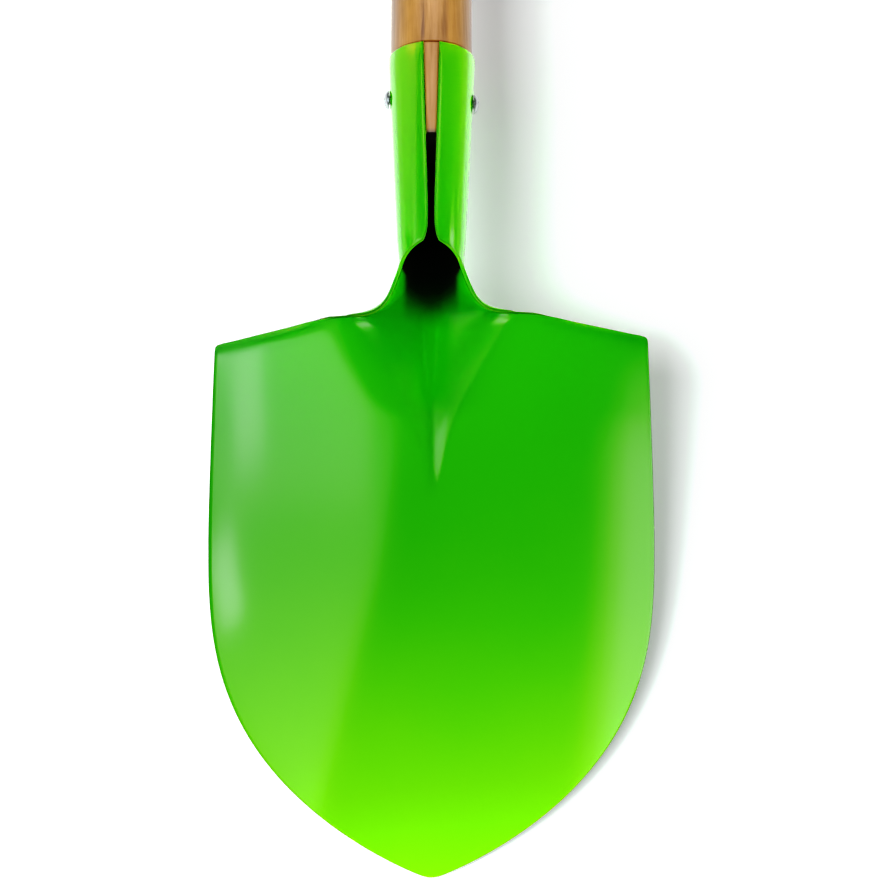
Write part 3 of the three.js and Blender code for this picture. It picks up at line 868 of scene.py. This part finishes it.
def make_crossbar(material):
    end = GRIP_LENGTH / 2
    upper = round_corner(grip_radius, end, GRIP_END_RADIUS, 1)
    lower = [(radius, -height) for radius, height in reversed(upper)]
    middle_of_bar = Matrix.Translation((0, grip_from_neck, 0))
    lying = to_model @ middle_of_bar @ Matrix.Rotation(-math.pi / 2, 4, "Z")
    piece = mesh_object("wooden_crossbar", *turned([(0, -end), *lower, *upper, (0, end)]), lying)

    bore_floor = GRIP_BORE_DEPTH - grip_radius
    bore = SHAFT_TOP_DIAMETER / 2 + FIT
    bore_profile = [(0, -GRIP_DIAMETER), (bore, -GRIP_DIAMETER), (bore, bore_floor), (0, bore_floor)]
    sink_floor = grip_radius - GRIP_SCREW_SUNK - FIT
    sink = SCREW_HEAD_DIAMETER / 2 + HOLE_CLEARANCE
    shank = SCREW_SHANK_DIAMETER / 2 + HOLE_CLEARANCE
    sink_profile = [
        (0, 0),
        (shank, 0),
        (shank, sink_floor),
        (sink, sink_floor),
        (sink, GRIP_DIAMETER),
        (0, GRIP_DIAMETER),
    ]
    tools = [
        mesh_object("cutting_tool", *turned(profile), to_model @ middle_of_bar)
        for profile in (bore_profile, sink_profile)
    ]
    cut(piece, tools)
    finish_piece(piece, "grip_crossbar", material)
    return piece


def screw_mesh(length):
    """A round-headed screw along Y with a cross recess, its head's underside at the origin."""
    head = SCREW_HEAD_DIAMETER / 2
    shank = SCREW_SHANK_DIAMETER / 2
    dome = [
        (head * math.cos(t), SCREW_HEAD_HEIGHT * math.sin(t))
        for t in np.linspace(0, math.pi / 2, DOME_STEPS)[:-1]
    ]
    profile = [
        (0, -length),
        (shank, SCREW_POINT_LENGTH - length),
        (shank, 0),
        *dome,
        (0, SCREW_HEAD_HEIGHT),
    ]
    points, faces = turned(profile)
    return [(x, y - cross_recess(x, z) * (y > 0), z) for x, y, z in points], faces


def cross_recess(x, z):
    """Depth of the recess under a point of the head."""
    half_width = SCREW_CROSS_WIDTH / 2
    half_length = SCREW_CROSS_LENGTH / 2
    depth = 0
    for along, across in ((x, z), (z, x)):
        arm = 1 - smooth_step(abs(across), half_width * SCREW_CROSS_FLOOR_WIDTH_SHARE, half_width)
        reach = 1 - smooth_step(abs(along), half_length * SCREW_CROSS_FLOOR_LENGTH_SHARE, half_length)
        depth = max(depth, SCREW_CROSS_DEPTH * arm * reach)
    return depth


def make_screws(material):
    points, faces = screw_mesh(SOCKET_SCREW_LENGTH)
    to_shaft = to_model.inverted()
    for name, side in (("left", -1), ("right", 1)):
        node = f"socket_screw_{name}"
        height = (to_shaft @ middle(node)).y
        wall = socket_radius(height + SCREW_HEAD_DIAMETER / 2) + SHEET / 2
        seat = Matrix.Translation((side * (wall + FIT / 2), height, 0))
        turn = Matrix.Rotation(-side * math.pi / 2, 4, "Z")
        piece = mesh_object(f"zinc_{node}", points, faces, to_model @ seat @ turn)
        finish_piece(piece, node, material)

    seat = Matrix.Translation((0, grip_from_neck + grip_radius - GRIP_SCREW_SUNK, 0))
    piece = mesh_object("zinc_grip_screw", *screw_mesh(GRIP_SCREW_LENGTH), to_model @ seat)
    finish_piece(piece, "grip_screw", material)


# Studio

def make_floor():
    corners = [(x * FLOOR_HALF, y * FLOOR_HALF, 0) for x, y in ((-1, -1), (1, -1), (1, 1), (-1, 1))]
    floor = mesh_object("floor", corners, [(0, 1, 2, 3)], Matrix.Identity(4))
    material, tree, shader = new_material("white_floor")
    shader.inputs["Base Color"].default_value = (*FLOOR_COLOUR, 1)
    shader.inputs["Roughness"].default_value = FLOOR_ROUGHNESS
    shader.inputs["Emission Color"].default_value = (*WHITE, 1)
    place = tree.nodes.new("ShaderNodeTexCoord").outputs["Object"]
    away = add_node(tree, "ShaderNodeVectorMath", {0: place})
    away.operation = "LENGTH"
    glow = to_range(tree, away.outputs["Value"], FLOOR_GLOW_REACH, FLOOR_GLOW)
    tree.links.new(glow, shader.inputs["Emission Strength"])
    floor.data.materials.append(material)
    return floor


def add_softbox(name, place, target, size, watts, colour, turn=0):
    light = bpy.data.lights.new(name, "AREA")
    light.shape = "RECTANGLE"
    light.size, light.size_y = size
    light.energy = watts
    light.color = colour
    lamp = bpy.data.objects.new(name, light)
    lamp.location = place
    lamp.rotation_euler = (target - place).to_track_quat("-Z", "Y").to_euler()
    lamp.rotation_euler.rotate_axis("Z", turn)
    lamp.visible_camera = False
    bpy.context.scene.collection.objects.link(lamp)
    return lamp


def collect(name, pieces):
    made = bpy.data.collections.new(name)
    for piece in pieces:
        made.objects.link(piece)
    return made


def light_studio(centre, blade, timber, stage):
    world = bpy.data.worlds.new("studio")
    world.use_nodes = True
    sky = world.node_tree.nodes["Background"]
    sky.inputs["Color"].default_value = (*WHITE, 1)
    sky.inputs["Strength"].default_value = SKY_STRENGTH
    bpy.context.scene.world = world
    groups = [
        (SOFTBOXES, None),
        (SOFT_LIGHTS, None),
        (FILLS, blade),
        (SOFT_FILLS, blade),
        (SOCKET_LIGHTS, blade),
        (GLINTS, blade),
        (WOOD_LIGHTS, timber),
        (FLOOR_LIGHTS, stage),
    ]
    for lights, lit in groups:
        for name, (place, aim, *form) in lights.items():
            lamp = add_softbox(name, centre + Vector(place), centre + Vector(aim), *form)
            lamp.light_linking.receiver_collection = lit
            lamp.visible_glossy = lights not in (SOFT_LIGHTS, SOFT_FILLS, SOCKET_LIGHTS)
            lamp.data.spread = SOCKET_SPREAD if lights is SOCKET_LIGHTS else math.pi
            lamp.visible_diffuse = lights is not GLINTS


def set_tone():
    view = bpy.context.scene.view_settings
    view.view_transform = "Standard"
    view.use_curve_mapping = True
    points = view.curve_mapping.curves[COMBINED_CURVE].points
    for place in TONE_CURVE[1:-1]:
        points.new(*place)
    for point, place in zip(points, TONE_CURVE):
        point.location = place
        point.handle_type = "VECTOR"
    view.curve_mapping.update()


def aim_camera(target):
    camera = bpy.data.cameras.new("camera")
    camera.sensor_width = SENSOR_WIDTH
    camera.lens = SENSOR_WIDTH * FOCAL_PIXELS / PICTURE_PIXELS
    camera.clip_start = NEAREST_SEEN
    view = bpy.data.objects.new("camera", camera)
    looking = Vector((0, math.sin(CAMERA_TILT), -math.cos(CAMERA_TILT)))
    view.location = target - looking * CAMERA_DISTANCE
    view.rotation_euler = (CAMERA_TILT, 0, 0)
    bpy.context.scene.collection.objects.link(view)
    bpy.context.scene.camera = view


blade = collect("blade", [make_blade(green_paint())])
shaft = make_shaft(wood("shaft_wood", along_grain=1))
crossbar = make_crossbar(wood("grip_wood", along_grain=0))
make_screws(zinc_plate())
timber = collect("timber", [shaft, crossbar])
stage = collect("stage", [make_floor()])

tip_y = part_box("blade_and_socket")[0][1]
aim_at = Vector((CAMERA_TARGET_SIDE, tip_y + CAMERA_TARGET_FROM_TIP, CAMERA_TARGET_HEIGHT))
aim_camera(aim_at)
light_studio(aim_at, blade, timber, stage)
set_tone()
